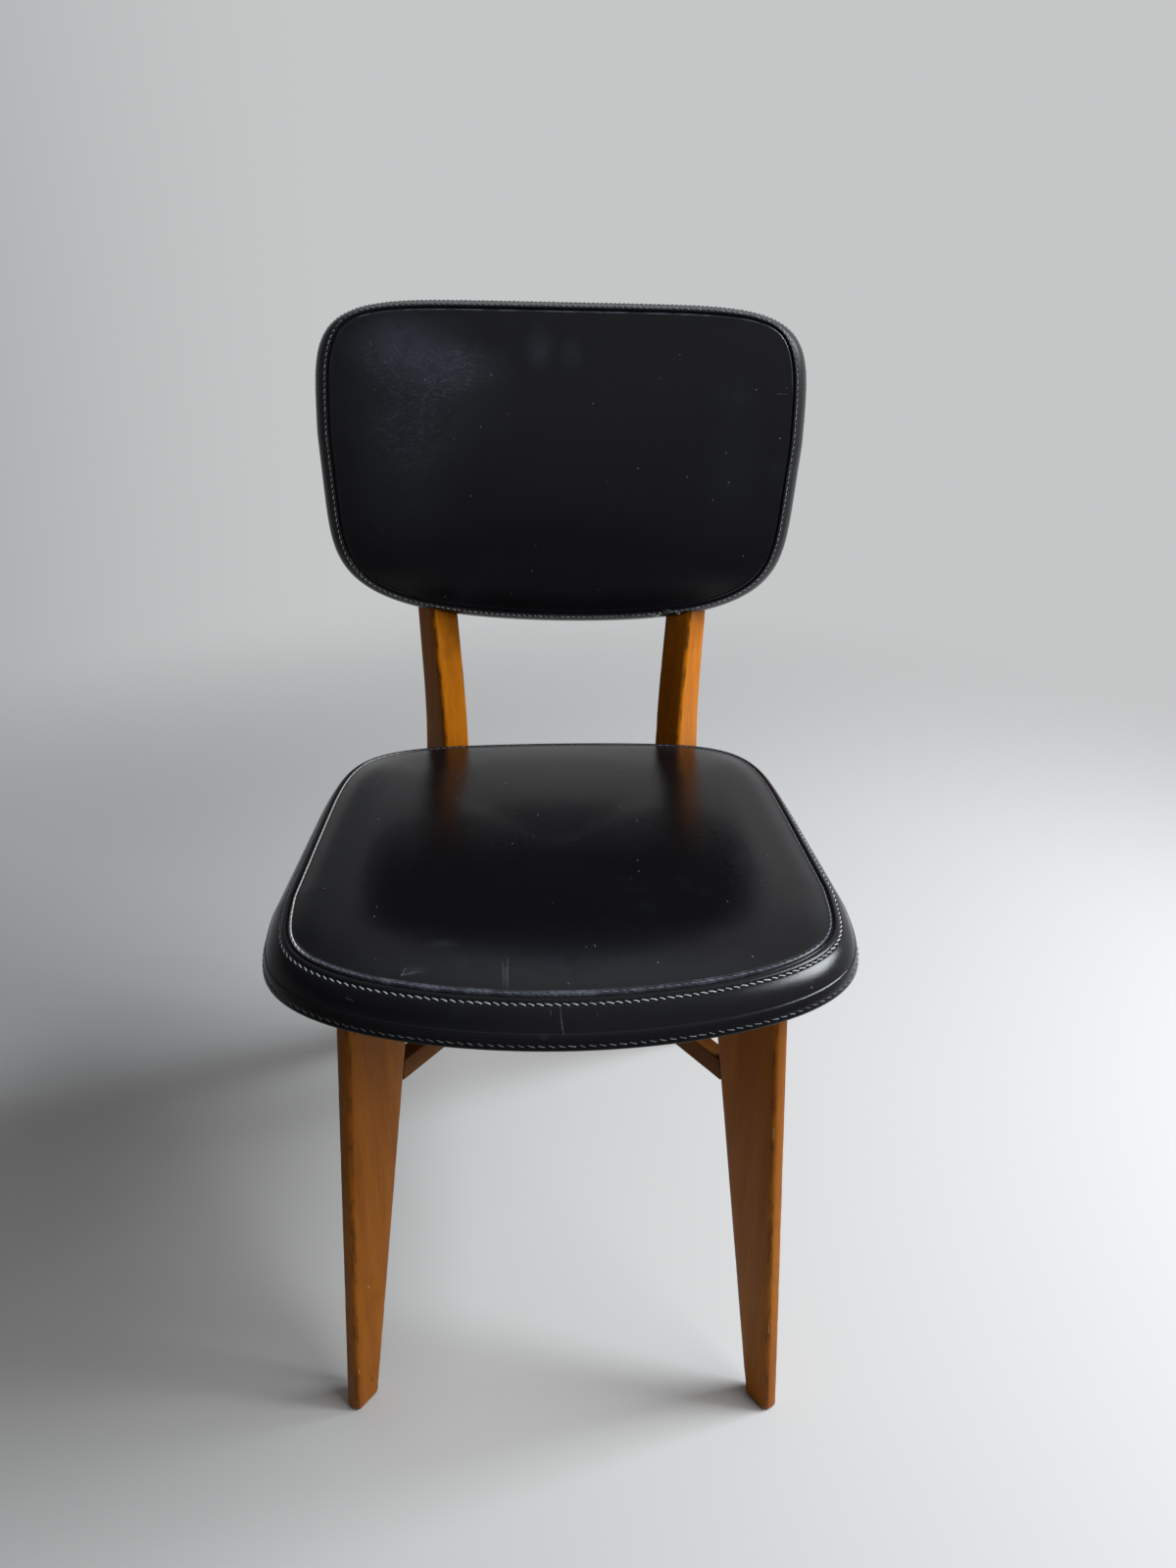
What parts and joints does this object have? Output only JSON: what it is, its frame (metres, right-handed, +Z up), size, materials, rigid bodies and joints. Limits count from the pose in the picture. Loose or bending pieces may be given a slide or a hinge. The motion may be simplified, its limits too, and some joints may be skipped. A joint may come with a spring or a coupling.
{
  "type": "upholstered dining chair",
  "caption": "Dining chair with splayed varnished beech legs, crossing under-seat rails and padded seat and back in worn black imitation leather.",
  "frame": {"origin": "on the floor, at the centre of the chair's bounding box in plan", "axes": "+Z up; the front of the chair faces -Y; +X is on the right as seen from the front"},
  "size_m": [0.4457, 0.551, 0.8388],
  "materials": {
    "beech": "orange-brown varnished beech, satin, edges rubbed and feet chipped",
    "dowel_wood": "bare beech dowel",
    "plywood": "bare plywood, hidden",
    "foam": "aged upholstery foam, hidden",
    "vinyl": "black imitation leather with a fine grain, satin, scuffed and dusty",
    "piping": "black imitation leather welt, pale where it is worn",
    "steel": "plain steel countersunk screw",
    "thread": "grey sewing thread, faded"
  },
  "bodies": {
    "root": {"front_left_leg": "beech", "front_right_leg": "beech", "rear_left_leg": "beech", "rear_right_leg": "beech", "front_seat_rail": "beech", "rear_seat_rail": "beech", "left_seat_rail": "beech", "right_seat_rail": "beech", "cross_rail_low": "beech", "cross_rail_high": "beech", "front_left_dowel": "dowel_wood", "front_right_dowel": "dowel_wood", "rear_left_dowel": "dowel_wood", "rear_right_dowel": "dowel_wood", "seat_board": "plywood", "seat_foam": "foam", "seat_top_panel": "vinyl", "seat_band": "vinyl", "seat_welt": "piping", "seat_screw_1": "steel", "seat_screw_2": "steel", "seat_screw_3": "steel", "seat_screw_4": "steel", "seat_screw_5": "steel", "seat_screw_6": "steel", "back_board": "plywood", "back_front_foam": "foam", "back_rear_foam": "foam", "back_front_panel": "vinyl", "back_rear_panel": "vinyl", "back_band": "vinyl", "back_welt": "piping", "back_screw_1": "steel", "back_screw_2": "steel", "back_screw_3": "steel", "back_screw_4": "steel"}
  },
  "joints": []
}
